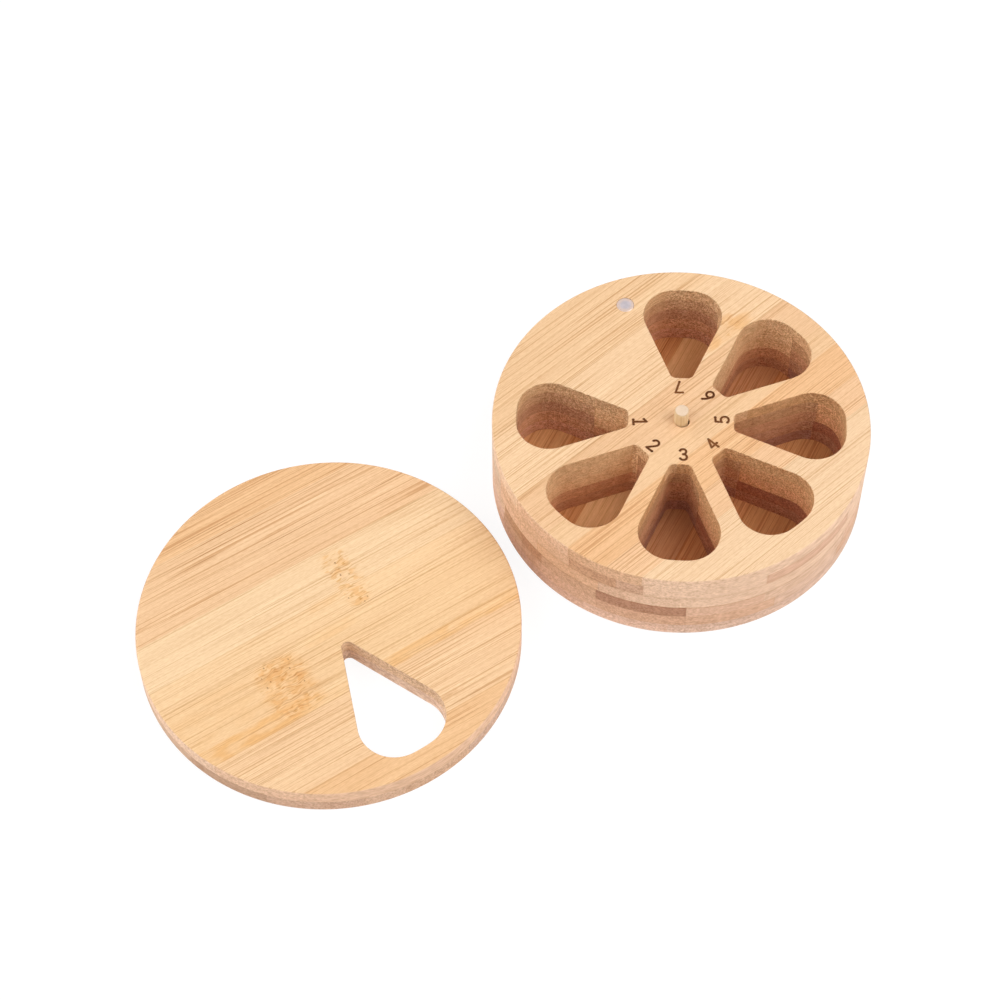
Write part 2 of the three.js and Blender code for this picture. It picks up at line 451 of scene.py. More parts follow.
# Steps in each part of a teardrop: its two fillets, its round end, one side and its flat end
INNER_STEPS, OUTER_STEPS, END_STEPS, SIDE_STEPS, FLAT_STEPS = 10, 30, 4, 36, 8


def arc(x, y, radius, start, end, steps):
    """Points on an arc round a place, each with the direction towards that place."""
    points = []
    for step in range(steps + 1):
        turn = start + (end - start) * step / steps
        c, s = math.cos(turn), math.sin(turn)
        points.append((x + radius * c, y + radius * s, -c, -s))
    return points


def teardrop(side_gap, inner_radius, outer_radius, outer_fillet, inner_fillet):
    """The pocket outline about the X axis. Its sides are parallel to the borders of its sector."""
    apex = side_gap / math.sin(HALF_SECTOR)
    reach = outer_radius - outer_fillet
    corner = HALF_SECTOR - math.asin((side_gap + outer_fillet) / reach)
    half_width = (inner_radius - apex) * math.tan(HALF_SECTOR)
    across = math.tan((math.pi / 2 - HALF_SECTOR) / 2)
    inner = min(inner_fillet, half_width / across)
    side = math.pi / 2 + HALF_SECTOR
    first = arc(
        inner_radius + inner, half_width - inner * across, inner, math.pi, side, INNER_STEPS
    )
    second = arc(
        reach * math.cos(corner), reach * math.sin(corner), outer_fillet, side, corner, OUTER_STEPS
    )
    third = arc(0.0, 0.0, outer_radius, corner, 0.0, END_STEPS)
    between = [
        tuple(a + (b - a) * step / SIDE_STEPS for a, b in zip(first[-1], second[0]))
        for step in range(1, SIDE_STEPS)
    ]
    upper = first + between + second + third[1:]
    lower = [(x, -y, ax, -ay) for x, y, ax, ay in reversed(upper[:-1])]
    half_end = upper[0][1]
    flat = [
        (inner_radius, half_end * (2 * step / FLAT_STEPS - 1), 1.0, 0.0)
        for step in range(1, FLAT_STEPS)
    ]
    drop = np.array(upper + lower + flat)
    return Outline(drop[:, :2], drop[:, 2:])


# Numbers, drawn as pen strokes in a box that is 1 high


GLYPH_WIDTH = 0.6


def bow(x, y, radius, start, end, steps=16):
    """Points along part of a circle, from one angle to another in degrees."""
    angles = [math.radians(start + (end - start) * step / steps) for step in range(steps + 1)]
    return [(x + radius * math.cos(a), y + radius * math.sin(a)) for a in angles]


NUMERALS = {
    1: ([(0.10, 0.80), (0.34, 1.0), (0.34, 0.0)], [(0.12, 0.0), (0.56, 0.0)]),
    2: (bow(0.30, 0.73, 0.26, 165, -32) + [(0.04, 0.0), (0.58, 0.0)],),
    3: (bow(0.28, 0.755, 0.235, 155, -88), bow(0.28, 0.26, 0.26, 88, -155)),
    4: ([(0.44, 0.0), (0.44, 1.0), (0.03, 0.30), (0.62, 0.30)],),
    5: ([(0.54, 1.0), (0.13, 1.0), (0.09, 0.54)] + bow(0.28, 0.31, 0.30, 128, -142),),
    6: ([(0.48, 0.98), (0.26, 0.78)] + bow(0.31, 0.29, 0.28, 165, 525, 28),),
    7: ([(0.03, 1.0), (0.57, 1.0), (0.22, 0.0)],),
}
# How strongly each number is burnt
BURNS = {1: 0.85, 2: 1.0, 3: 0.8, 4: 0.55, 5: 0.8, 6: 1.0, 7: 0.65}
# The burnt lines: the grid they are traced on, how far and over what length their edges wander,
# and, as shares of a stroke, how far the slope to the bottom reaches in and how large the blob is
# where the pen stops
TRACE_STEP = 0.00007
RAGGED = 0.00004
RAGGED_LENGTH = 0.0005
SLOPE_SHARE = 0.22
BLOB_SHARE = 0.62
# The least step between two traced points, as a share of the grid, and the least points in a line
TRACE_SHARE = 0.3
TRACE_POINTS = 8


def pen_distance(strokes, height, stroke, grid_x, grid_y):
    """How far each grid point is outside the burnt strokes, which are thicker at their ends."""
    nearest = np.full(grid_x.shape, np.inf)
    for line in strokes:
        points = [((x - GLYPH_WIDTH / 2) * height, (y - 0.5) * height) for x, y in line]
        for (ax, ay), (bx, by) in zip(points, points[1:]):
            dx, dy = bx - ax, by - ay
            along = ((grid_x - ax) * dx + (grid_y - ay) * dy) / (dx * dx + dy * dy)
            along = np.clip(along, 0.0, 1.0)
            gap = np.hypot(grid_x - ax - along * dx, grid_y - ay - along * dy)
            nearest = np.minimum(nearest, gap - stroke / 2)
        for x, y in (points[0], points[-1]):
            gap = np.hypot(grid_x - x, grid_y - y)
            nearest = np.minimum(nearest, gap - stroke * BLOB_SHARE)
    return nearest


def level_lines(field, level, start, step):
    """The closed lines along which a field on a square grid has this level."""
    inside = field < level
    rows, columns = field.shape

    def crossing(a, b):
        part = (level - field[a]) / (field[b] - field[a])
        row, column = (a[k] + part * (b[k] - a[k]) for k in (0, 1))
        return start + step * column, start + step * row

    follow, places = {}, {}
    for r in range(rows - 1):
        for c in range(columns - 1):
            corners = ((r, c), (r, c + 1), (r + 1, c + 1), (r + 1, c))
            flags = [inside[k] for k in corners]
            if all(flags) or not any(flags):
                continue
            entered, left = [], []
            for k in range(4):
                a, b = corners[k], corners[(k + 1) % 4]
                if flags[k] != flags[(k + 1) % 4]:
                    key = (min(a, b), max(a, b))
                    places[key] = crossing(*key)
                    (left if flags[k] else entered).append(key)
            for a, b in zip(entered, left):
                follow[a] = b
    loops = []
    while follow:
        first, key = follow.popitem()
        loop = [places[first]]
        while key != first:
            if math.dist(places[key], loop[-1]) > step * TRACE_SHARE:
                loop.append(places[key])
            key = follow.pop(key)
        if len(loop) > TRACE_POINTS:
            loops.append(loop)
    return loops


# Mesh building


# The flat ring beside a rounded edge, which keeps the face flat, and what a fine edge is
SUPPORT = 0.00015
FINE_EDGE = 0.0002
EDGE_STEPS, FINE_STEPS = 5, 2
# How the worn part of a turned piece varies round it, from ring to ring, and in height
WEAR_ROUND, WEAR_UP, WEAR_LIFT = 1.7, 0.3, 0.5


class Cut(NamedTuple):
    """An outline with how its edges are rounded. A recess ends at floor or starts at ceiling."""

    outline: Outline
    low: float
    high: float
    floor: float = None
    ceiling: float = None


def rounding(radius, steps):
    """Pairs of inset and drop round a quarter circle, from the face to the wall."""
    turns = [math.pi / 2 * step / steps for step in range(steps + 1)]
    return [(radius * (1 - math.sin(t)), radius * (1 - math.cos(t))) for t in turns]


def edge_profile(radius):
    """Pairs of inset and drop over a rounded edge, with a flat ring on the face and the wall."""
    steps = EDGE_STEPS if radius > FINE_EDGE else FINE_STEPS
    return [(radius + SUPPORT, 0.0), *rounding(radius, steps), (0.0, radius + SUPPORT)]


def wall_profile(cut, bottom, top):
    """Pairs of inset and height up one wall, from the lower face or a floor."""
    if cut.floor is None:
        rise = [(inset, bottom + drop) for inset, drop in edge_profile(cut.low)]
    else:
        rise = [(0.0, cut.floor)]
    if cut.ceiling is None:
        rise += [(inset, top - drop) for inset, drop in reversed(edge_profile(cut.high))]
    else:
        rise.append((0.0, cut.ceiling))
    return rise


def ring_of(bm, points, height):
    return [bm.verts.new((x, y, height)) for x, y in points]


def band(bm, lower, upper):
    """Quads between two rings with as many points each."""
    for k in range(len(lower)):
        n = (k + 1) % len(lower)
        bm.faces.new((lower[k], lower[n], upper[n], upper[k])).smooth = True


def fill(bm, rings, material=0):
    """A flat face bounded by rings, whichever lies in which."""
    verts = [v for ring in rings for v in ring]
    for corners in tessellate_polygon([[v.co.copy() for v in ring] for ring in rings]):
        if len(set(corners)) == 3:
            bm.faces.new([verts[k] for k in corners]).material_index = material


def burn_numbers(bm, top, scorch, burn):
    """Burns the numbers 1 to 7 into the top face. Returns the rings that bound them there."""
    sizes = bpy.context.scene.pill_box_numbers
    reach = sizes.height * 0.5 + sizes.halo + sizes.stroke + 4 * TRACE_STEP
    start = -reach
    line = start + TRACE_STEP * np.arange(int(2 * reach / TRACE_STEP) + 1)
    grid_y, grid_x = np.meshgrid(line, line, indexing="ij")
    levels = (
        ("halo", sizes.halo, 0.0, 0.0),
        ("lip", 0.0, 0.0, 1.0),
        ("foot", -sizes.stroke * SLOPE_SHARE, sizes.depth, 1.0),
    )
    outer = []
    for number, sector in enumerate(range(BLANK_SECTOR + 1, BLANK_SECTOR + SECTORS), 1):
        turn = sector * SECTOR + sizes.turn
        c, s = math.cos(turn), math.sin(turn)
        field = pen_distance(NUMERALS[number], sizes.height, sizes.stroke, grid_x, grid_y)
        rough = [
            noise.noise(Vector((x / RAGGED_LENGTH, y / RAGGED_LENGTH, number)))
            for x, y in zip(grid_x.flat, grid_y.flat)
        ]
        field = field + RAGGED * np.array(rough).reshape(field.shape)
        rings = {}
        for kind, level, drop, scorched in levels:
            rings[kind] = []
            for loop in level_lines(field, level, start, TRACE_STEP):
                placed = [
                    (sizes.ring * c - x * s - y * c, sizes.ring * s + x * c - y * s)
                    for x, y in loop
                ]
                ring = ring_of(bm, placed, top - drop)
                for v in ring:
                    v[scorch] = scorched
                    v[burn] = BURNS[number]
                rings[kind].append(ring)
        fill(bm, rings["halo"] + rings["lip"])
        fill(bm, rings["lip"] + rings["foot"], 1)
        fill(bm, rings["foot"], 1)
        outer += rings["halo"]
    return outer


def mesh_from(bm, name):
    """The finished mesh, with its faces turned outwards."""
    bmesh.ops.recalc_face_normals(bm, faces=bm.faces)
    mesh = bpy.data.meshes.new(name)
    bm.to_mesh(mesh)
    bm.free()
    return mesh


def ply_mesh(name, cuts, bottom, top, numbered=False):
    """One ply with everything that is cut through it or into it."""
    bm = bmesh.new()
    scorch = bm.verts.layers.float.new("scorch")
    burn = bm.verts.layers.float.new("burn")
    below, above = [], []
    for cut in cuts:
        profile = wall_profile(cut, bottom, top)
        rings = [ring_of(bm, cut.outline.inset(inset), z) for inset, z in profile]
        for lower, upper in zip(rings, rings[1:]):
            band(bm, lower, upper)
        if cut.floor is None:
            below.append(rings[0])
        else:
            fill(bm, [rings[0]])
        if cut.ceiling is None:
            above.append(rings[-1])
        else:
            fill(bm, [rings[-1]])
    if numbered:
        above += burn_numbers(bm, top, scorch, burn)
    fill(bm, below)
    fill(bm, above)
    return mesh_from(bm, name)


def lathe_mesh(name, profile, x, y, steps=72, worn=0.0):
    """A turned piece from its profile of radius and height, bottom up, closed at both ends."""
    bm = bmesh.new()
    rings = []
    for number, (radius, z) in enumerate(profile):
        ring = []
        for step in range(steps):
            turn = 2 * math.pi * step / steps
            c, s = math.cos(turn), math.sin(turn)
            at = Vector((c * WEAR_ROUND, s * WEAR_ROUND, number * WEAR_UP))
            wear = worn * noise.noise(at)
            place = (x + (radius + wear) * c, y + (radius + wear) * s, z + wear * WEAR_LIFT)
            ring.append(bm.verts.new(place))
        rings.append(ring)
    for lower, upper in zip(rings, rings[1:]):
        band(bm, lower, upper)
    for ring in (rings[0], rings[-1]):
        bm.faces.new(ring)
    return mesh_from(bm, name)


def piece(mesh, body, node, slot, *materials):
    """Puts a finished mesh in the scene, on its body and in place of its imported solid."""
    thing = bpy.data.objects.new(mesh.name, mesh)
    bpy.context.scene.collection.objects.link(thing)
    for material in materials:
        mesh.materials.append(material)
    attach(thing, body)
    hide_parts(node)


# Materials


# How far the fibres wander, how far a knot pushes them and how far the edge of a patch strays, mm
DRIFT = 0.7
KNOT_PUSH = 2.0
PATCH_STRAY = 6.0
# Where the fine hairs are taken from in the pattern, and how far apart the plies are in it, in mm
HAIR_SHIFT = (9.0, 4.3, 7.7)
PLY_SHIFT = (37.0, 11.0, 5.0)
LID_SHIFT = (0.0, 0.0, 40.0)
# The middle of a noise, where most of its values lie
MIDDLE = (0.30, 0.70)
# How much each kind of line darkens a face, where 2 is all the way from pale to dark
FACE_LINES = {
    "all": -0.10, "wide": 0.09, "line": 0.04, "thread": 1.10, "flank": -0.30, "hair": 0.60,
    "pore": 0.22,
}
# The same for a side, where the fibres lie along it and where it cuts across them
SIDE_LINES = {
    "dots": (0.20, 0.75), "threads": (0.30, 0.10), "rods": (0.20, 0.60), "chips": (0.10, 0.55),
    "nicks": (0.30, 1.60), "lines": 0.30, "smudge": 0.16,
}
# Blotches on the rim and in a pocket
DAPPLE = (0.50, 0.35)
# How far a level leans towards a tint, and how much of its tint each mark takes on
FACE_GAIN, RIM_GAIN, MILLED_GAIN = 0.5, 0.40, 0.5
MARKS = {
    "vein": 0.85, "face glue": 0.6, "block": 0.55, "pale dash": 0.3, "dash": 0.85, "speck": 0.75,
    "side glue": 0.4,
}
# The roughness of bamboo, what is added to it, and what stands up or lies deep
SMOOTH = 0.46
DULLER = {"threads": 0.12, "vein": 0.08, "side": 0.16}
RELIEF = {"lines": -0.30, "vein": -0.70, "dash": -0.4, "side": -0.5}
# The strongest fibre lines of a strip
MOST_LINES = 2.0
# The powers that shape a patch: blunt at its ends, straight along its sides
PATCH_ENDS, PATCH_SIDES = 2.5, 8.0
# Limits between which one thing turns into another: from a side to a face, by how far up it
# looks; from a milled wall to the rim, in mm from the middle; and out from a line of glue
# between two strips and between two plies, in mm
FACE_LIMITS = (0.55, 0.92)
RIM_LIMITS = (50.0, 51.5)
STRIP_GLUE = (0.08, 0.22)
PLY_GLUE = (0.25, 0.80)
# The darker, yellower band round the foot of the pin, in mm above the floor, and the warmer edge
# of a magnet, in mm from its middle
FOOT_TONE_LIMITS = (26.6, 28.4)
EDGE_TONE_LIMITS = (1.5, 2.5)
# How much of its colour each mark on the pin takes on, and how much scorched wood beside a number
PIN_MARKS = {"fibre": 0.75, "dot": 0.7, "ends": 0.45, "foot_tone": 0.5, "top": 0.65}
PIN_RELIEF, PIN_DEPTH = 0.6, 0.00006
SCORCH_SHARE, SCORCH_EXPONENT = 0.8, 1.6
# The relief of charred wood and of brushed plating: its depth in metres and how strong it is
CHAR_RELIEF = (0.00005, 0.8)
BRUSH_RELIEF = (0.00001, 0.5)
# How brightly bamboo and charred wood catch the light, and the colour of soot
BAMBOO_GLOSS, CHAR_GLOSS = 0.35, 0.12
SOOT = (0.030, 0.014, 0.008)
# How ragged the warmer edge of a magnet is, in mm, and how much of its colour it takes on
EDGE_TONE_STRAY, EDGE_TONE_SHARE = 0.8, 0.9

BAMBOO_INPUTS = {
    "Place": "Vector", "Face": "Color", "Face lines": "Float", "Side": "Color",
    "Side lines": "Float", "Knot": "Float", "Warmth": "Float", "Sideways": "Float",
    "End grain": "Float", "Glue": "Float", "Cavity": "Float",
}
BAMBOO_OUTPUTS = {"Colour": "Color", "Roughness": "Float", "Height": "Float"}


class Wiring:
    """Adds nodes to one tree and joins them."""

    def __init__(self, tree):
        self.tree = tree

    def put(self, socket, value):
        """Joins a node to a socket, or sets it to a number, a vector or a colour."""
        if isinstance(value, bpy.types.NodeSocket):
            self.tree.links.new(value, socket)
        elif hasattr(value, "__len__"):
            socket.default_value = (*value, 1.0)[:len(socket.default_value)]
        else:
            socket.default_value = value

    def add(self, kind, inputs=(), **settings):
        node = self.tree.nodes.new(kind)
        for key, value in settings.items():
            setattr(node, key, value)
        for key, value in dict(inputs).items():
            self.put(node.inputs[key], value)
        return node

    def math(self, operation, a, b=0.0):
        return self.add("ShaderNodeMath", {0: a, 1: b}, operation=operation).outputs[0]

    def chain(self, operation, first, *others):
        for other in others:
            first = self.math(operation, first, other)
        return first

    def total(self, *values):
        return self.chain("ADD", *values)

    def times(self, *values):
        return self.chain("MULTIPLY", *values)

    def distance(self, value, centre):
        """How far a number is from another."""
        return self.math("ABSOLUTE", self.math("SUBTRACT", value, centre))

    def vector(self, operation, a, b=(0, 0, 0)):
        node = self.add("ShaderNodeVectorMath", {0: a, 1: b}, operation=operation)
        return node.outputs["Value" if operation in ("DOT_PRODUCT", "LENGTH") else "Vector"]

    def parts(self, vector):
        return self.add("ShaderNodeSeparateXYZ", {0: vector}).outputs

    def in_mm(self, place):
        """A place in mm, from one in metres."""
        inputs = {0: place, "Scale": MM_PER_M}
        return self.add("ShaderNodeVectorMath", inputs, operation="SCALE").outputs["Vector"]

    def from_axis(self, place):
        """How far a place is from the Z axis."""
        return self.vector("LENGTH", self.vector("MULTIPLY", place, (1, 1, 0)))

    def layer(self, name):
        """What the mesh says about its points under this name."""
        return self.add("ShaderNodeAttribute", attribute_name=name).outputs["Fac"]

    def drawn(self, at, along, across, up=None):
        """A place in a pattern that changes this often along and across the fibres, per mm."""
        return self.vector("MULTIPLY", at, (along, across, across if up is None else up))

    def noise(self, at, scale=1.0, detail=2.0, rough=0.5):
        inputs = {"Vector": at, "Scale": scale, "Detail": detail, "Roughness": rough}
        return self.add("ShaderNodeTexNoise", inputs).outputs[0]

    def fibres(self, at, along, across, up=None, detail=1.0, rough=0.5):
        """Noise drawn out along the fibres."""
        return self.noise(self.drawn(at, along, across, up), 1.0, detail, rough)

    def cells(self, at):
        """How far a place is from the middle of the nearest cell."""
        return self.add("ShaderNodeTexVoronoi", {"Vector": at, "Scale": 1.0}).outputs["Distance"]

    def fade(self, value, low, high, start=0.0, end=1.0):
        """Goes smoothly from start to end as a value goes from low to high."""
        node = self.add("ShaderNodeMapRange", {
            "Value": value, "From Min": low, "From Max": high, "To Min": start, "To Max": end,
        }, interpolation_type="SMOOTHSTEP")
        return node.outputs["Result"]

    def fade_out(self, value, low, high):
        return self.fade(value, low, high, 1.0, 0.0)

    def swing(self, value, low, high):
        return self.fade(value, low, high, -1.0, 1.0)

    def weigh(self, share, without, full):
        """Goes smoothly from one weight to another as a share goes from 0 to 1."""
        return self.fade(share, 0.0, 1.0, without, full)

    def wander(self, noise, reach):
        """A noise as a number on either side of 0."""
        return self.times(self.math("SUBTRACT", noise, 0.5), reach)

    def mix(self, factor, a, b, blend="MIX"):
        settings = {"data_type": "RGBA", "blend_type": blend, "clamp_factor": True}
        return self.add("ShaderNodeMix", {0: factor, 6: a, 7: b}, **settings).outputs[2]

    def tinted(self, colour, tint):
        return self.mix(1.0, colour, tint, "MULTIPLY")

    def stained(self, colour, tint, share):
        """A colour that has taken on this share of a tint."""
        return self.mix(share, colour, self.tinted(colour, tint))

    def leaning(self, level, gain, low, high):
        """The first tint where a level is low, and the second where it is high."""
        return self.mix(self.total(self.times(level, gain), 0.5), low, high)

    def direct_view(self):
        """1 where the camera, a gloss or a glass looks straight at a surface."""
        path = self.add("ShaderNodeLightPath").outputs
        mirrored = self.math("MAXIMUM", path["Is Glossy Ray"], path["Is Transmission Ray"])
        return self.math("MAXIMUM", path["Is Camera Ray"], mirrored)


def bamboo_group():
    """The inside of bamboo: fibres that run along X, in mm, and their cut ends."""
    look = bpy.context.scene.pill_box_bamboo
    tree = bpy.data.node_groups.new("Bamboo", "ShaderNodeTree")
    for way, sockets in (("INPUT", BAMBOO_INPUTS), ("OUTPUT", BAMBOO_OUTPUTS)):
        for name, kind in sockets.items():
            tree.interface.new_socket(name=name, in_out=way, socket_type="NodeSocket" + kind)
    w = Wiring(tree)
    given = w.add("NodeGroupInput").outputs
    place = given["Place"]

    # The fibres run straight, and wave where there is a knot
    lazy = w.fibres(place, along=0.02, across=0.06, detail=0.0)
    shiver = w.fibres(place, along=0.22, across=0.26)
    aside = w.total(w.wander(lazy, DRIFT), w.wander(shiver, w.times(given["Knot"], KNOT_PUSH)))
    at = w.vector("ADD", place, w.add("ShaderNodeCombineXYZ", {"Y": aside}).outputs[0])

    # Long fibre lines of three widths, fainter in some places than in others
    wide = w.fibres(at, along=0.010, across=0.24)
    lines = w.fibres(at, along=0.016, across=1.25)
    threads = w.fibres(at, along=0.017, across=2.3, detail=0.0)
    hairs = w.fibres(w.vector("ADD", at, HAIR_SHIFT), along=0.026, across=2.8, detail=0.0)
    pores = w.fibres(at, along=0.60, across=3.9)
    rods = w.cells(w.drawn(at, along=0.014, across=1.40))
    patchy = w.fibres(at, along=0.045, across=0.16)
    strength = w.times(given["Face lines"], w.fade(patchy, 0.34, 0.66, 0.60, 1.15))
    strength = w.times(strength, w.fade(lines, 0.36, 0.62, 0.70, 1.30))
    thread = w.fade(threads, 0.57, 0.70)
    flank = w.times(w.fade(threads, 0.42, 0.52), w.fade_out(threads, 0.54, 0.62))
    level = w.total(
        w.times(w.swing(wide, *MIDDLE), FACE_LINES["wide"]),
        w.times(w.swing(lines, *MIDDLE), given["Face lines"], FACE_LINES["line"]),
        w.times(thread, strength, FACE_LINES["thread"]),
        w.times(flank, strength, FACE_LINES["flank"]),
        w.times(w.fade(hairs, 0.58, 0.70), strength, FACE_LINES["hair"]),
        w.times(w.swing(pores, *MIDDLE), FACE_LINES["pore"]),
        FACE_LINES["all"],
    )
    vein = w.times(w.fade_out(rods, 0.10, 0.24), strength)
    face = w.tinted(given["Face"], w.leaning(level, FACE_GAIN, look.light, look.dark))
    vessel = w.tinted(face, look.vessel)
    face = w.mix(w.times(vein, MARKS["vein"]), face, vessel)
    face = w.mix(w.times(given["Glue"], MARKS["face glue"]), face, vessel)

    # A knot: warm blocks, short straight dashes and a few dark specks along its middle
    blotch = w.fade(w.fibres(at, along=0.16, across=0.34), 0.36, 0.62, 0.40, 1.0)
    face = w.stained(face, look.warm, w.times(given["Warmth"], blotch))
    core = w.fade(given["Knot"], 0.60, 0.95)
    block = w.fade(w.fibres(at, along=0.34, across=0.55, rough=0.7), 0.50, 0.58)
    face = w.stained(face, look.warm, w.times(block, core, MARKS["block"]))
    dash = w.fade(w.fibres(at, along=0.55, across=2.1, detail=0.0), 0.60, 0.72)
    dashes = w.times(dash, given["Knot"])
    pale = w.fade(w.fibres(at, along=0.60, across=1.60), 0.56, 0.68)
    spots = w.cells(w.drawn(place, along=0.50, across=0.36, up=0.50))
    specks = w.times(w.fade_out(spots, 0.05, 0.17), core)
    face = w.stained(face, look.chalk, w.times(pale, given["Knot"], MARKS["pale dash"]))
    face = w.stained(face, look.dash, w.times(dashes, MARKS["dash"]))
    face = w.mix(w.times(specks, MARKS["speck"]), face, look.speck)

    # The sides: fibre ends show as dots and blotches, fibres cut lengthwise as streaks
    ends = w.fade(given["End grain"], 0.25, 0.85)
    dots = w.fibres(at, along=0.22, across=1.75, rough=0.6)
    dapple = w.fibres(at, along=0.30, across=0.55, up=0.75, detail=2.0, rough=0.6)
    rough = w.total(
        w.times(w.swing(dots, 0.34, 0.66), w.weigh(ends, *SIDE_LINES["dots"])),
        w.times(w.swing(threads, *MIDDLE), w.weigh(ends, *SIDE_LINES["threads"])),
        w.times(w.swing(lines, *MIDDLE), SIDE_LINES["lines"]),
        w.times(w.swing(dapple, *MIDDLE), w.weigh(given["Cavity"], *DAPPLE)),
        w.times(w.fade_out(rods, 0.10, 0.34), w.weigh(ends, *SIDE_LINES["rods"])),
    )
    rough = w.times(rough, given["Side lines"])
    side = w.tinted(given["Side"], w.leaning(rough, RIM_GAIN, look.chalk, look.bundle))

    # The milled walls of the pockets: darker across the fibres, with nicks and chips
    smudge = w.fibres(place, along=0.40, across=0.40, up=0.28, detail=2.0, rough=0.6)
    nicks = w.fibres(place, along=2.5, across=2.5, up=3.0, detail=0.0)
    chips = w.fibres(place, along=1.1, across=1.1, up=1.5)
    tooled = w.total(
        w.times(w.swing(chips, 0.36, 0.64), w.weigh(ends, *SIDE_LINES["chips"])),
        w.times(w.swing(smudge, 0.32, 0.68), SIDE_LINES["smudge"]),
        w.times(w.fade(nicks, 0.52, 0.65, -0.35, 2.1), w.weigh(ends, *SIDE_LINES["nicks"])),
    )
    tooled = w.times(tooled, given["Side lines"])
    milled = w.tinted(side, w.mix(ends, look.milled, look.singed))
    milled = w.tinted(milled, w.leaning(tooled, MILLED_GAIN, look.pale_tool, look.dark_tool))
    side = w.mix(given["Cavity"], side, milled)
    side = w.stained(side, look.bundle, w.times(given["Glue"], MARKS["side glue"]))

    roughness = w.total(
        SMOOTH,
        w.times(threads, DULLER["threads"]),
        w.times(vein, DULLER["vein"]),
        w.times(given["Sideways"], DULLER["side"]),
    )
    face_height = w.total(
        w.times(level, RELIEF["lines"]),
        w.times(vein, RELIEF["vein"]),
        w.times(dashes, RELIEF["dash"]),
    )
    side_height = w.times(w.total(rough, w.times(tooled, given["Cavity"])), RELIEF["side"])
    heights = {0: given["Sideways"], 2: face_height, 3: side_height}
    w.add("NodeGroupOutput", {
        "Colour": w.mix(given["Sideways"], face, side),
        "Roughness": roughness,
        "Height": w.add("ShaderNodeMix", heights, data_type="FLOAT").outputs[0],
    })
    return tree


def strip_ramp(w, across, strips):
    """The colour and the lines of the strip at this place across the grain, in mm."""
    place = w.math("ADD", w.math("DIVIDE", across, RAMP_SPAN), 0.5)
    ramp = w.add("ShaderNodeValToRGB", {"Fac": place})
    ramp.color_ramp.interpolation = "CONSTANT"
    stops = ramp.color_ramp.elements
    stops.remove(stops[1])
    for number, (start, shown, lines) in enumerate(strips):
        position = start / RAMP_SPAN + 0.5
        stop = stops.new(position) if number else stops[0]
        stop.position = position
        stop.color = (*paint(*shown), lines / MOST_LINES)
    return ramp.outputs["Color"], w.times(ramp.outputs["Alpha"], MOST_LINES)


def inside_patch(w, parts, stray, patch):
    """How far inside a patch of the face a place is, from 0 to 1."""
    along = w.math("SUBTRACT", w.total(parts["X"], stray), patch.along)
    across = w.math("SUBTRACT", parts["Y"], patch.across)
    shape = ((along, patch.half_along, PATCH_ENDS), (across, patch.half_across, PATCH_SIDES))
    outside = w.total(*(
        w.math("POWER", w.math("ABSOLUTE", w.math("DIVIDE", offset, half)), exponent)
        for offset, half, exponent in shape
    ))
    return w.fade_out(outside, 0.10, 1.2)


def cleared(owner):
    """Empties the nodes of a material or a world. Returns the wiring to add new ones."""
    owner.use_nodes = True
    owner.node_tree.nodes.clear()
    return Wiring(owner.node_tree)


def principled(name, fixed=()):
    """A new material, the wiring to add to it, and its shader, with what is the same all over."""
    material = bpy.data.materials.new(name)
    w = cleared(material)
    shader = w.add("ShaderNodeBsdfPrincipled", fixed)
    w.add("ShaderNodeOutputMaterial", {"Surface": shader.outputs[0]})
    return material, w, shader


def finish_shader(w, shader, colour, roughness, height, depth, strength=1.0):
    """Gives a shader its colour, its roughness, and a relief of this depth in metres."""
    bump = w.add("ShaderNodeBump", {"Height": height, "Strength": strength, "Distance": depth})
    for name, value in (
        ("Base Color", colour), ("Roughness", roughness), ("Normal", bump.outputs[0]),
    ):
        w.put(shader.inputs[name], value)


